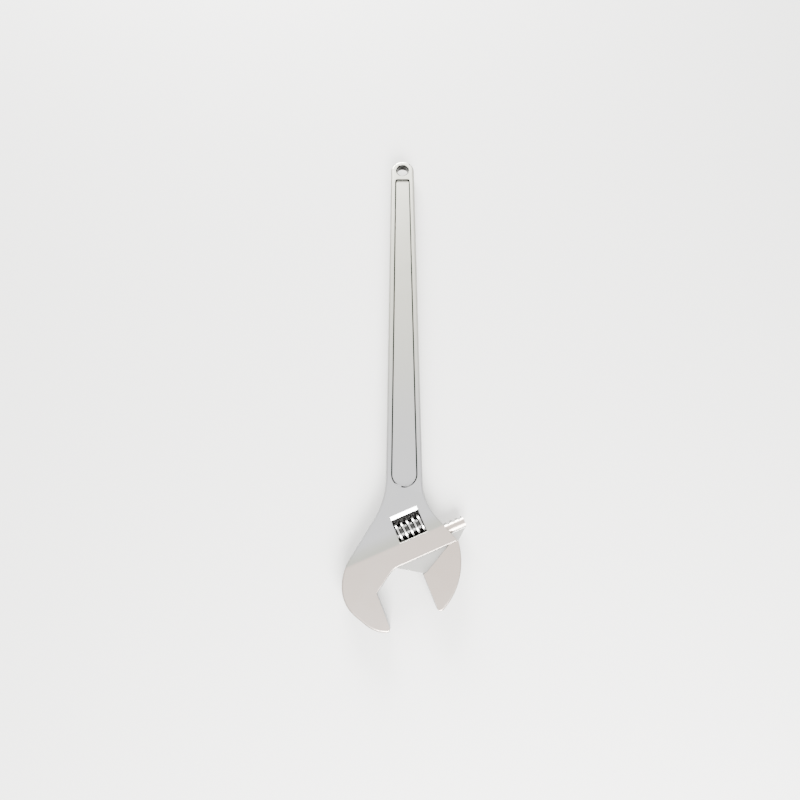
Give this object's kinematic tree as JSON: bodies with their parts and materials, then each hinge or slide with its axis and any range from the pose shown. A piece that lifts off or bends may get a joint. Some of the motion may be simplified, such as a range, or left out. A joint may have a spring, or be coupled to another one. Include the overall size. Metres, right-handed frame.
{
  "type": "adjustable wrench",
  "caption": "Long chromed adjustable wrench with an angled head, a sliding jaw on a rack bar and web, a thumb worm in a window, and an I-section handle with a hang hole.",
  "frame": {"origin": "middle of the base of the whole wrench's box, with the wrench lying flat on its back face", "axes": "+Y up the handle towards the hang hole, +X towards the movable jaw's side, +Z out of the upper face"},
  "size_m": [0.144, 0.6096, 0.03],
  "materials": {
    "satin_chrome": "satin chrome plate",
    "jaw_chrome": "ground, then chromed",
    "worm_steel": "turned bright",
    "pin_steel": "turned, oiled",
    "spring_steel": "drawn wire"
  },
  "bodies": {
    "body": {"wrench_body": "satin_chrome", "worm_pin": "pin_steel", "worm_spring": "spring_steel"},
    "worm": {"adjusting_worm": "worm_steel"},
    "jaw": {"movable_jaw": "jaw_chrome"}
  },
  "joints": [
    {"name": "worm_spin", "type": "hinge", "parent": "body", "child": "worm", "pos_m": [0.00555, -0.19255, 0.015], "axis": [0.9239, 0.3827, 0], "range_deg": [-278.7, 2896.4]},
    {"name": "jaw_slide", "type": "slide", "parent": "body", "child": "jaw", "axis": [0.9239, 0.3827, 0], "range_m": [-0.0563, 0.0054]}
  ],
  "couplings": [
    {"joint": "worm_spin", "follows": "jaw_slide", "rad_per_m": -897.6}
  ]
}
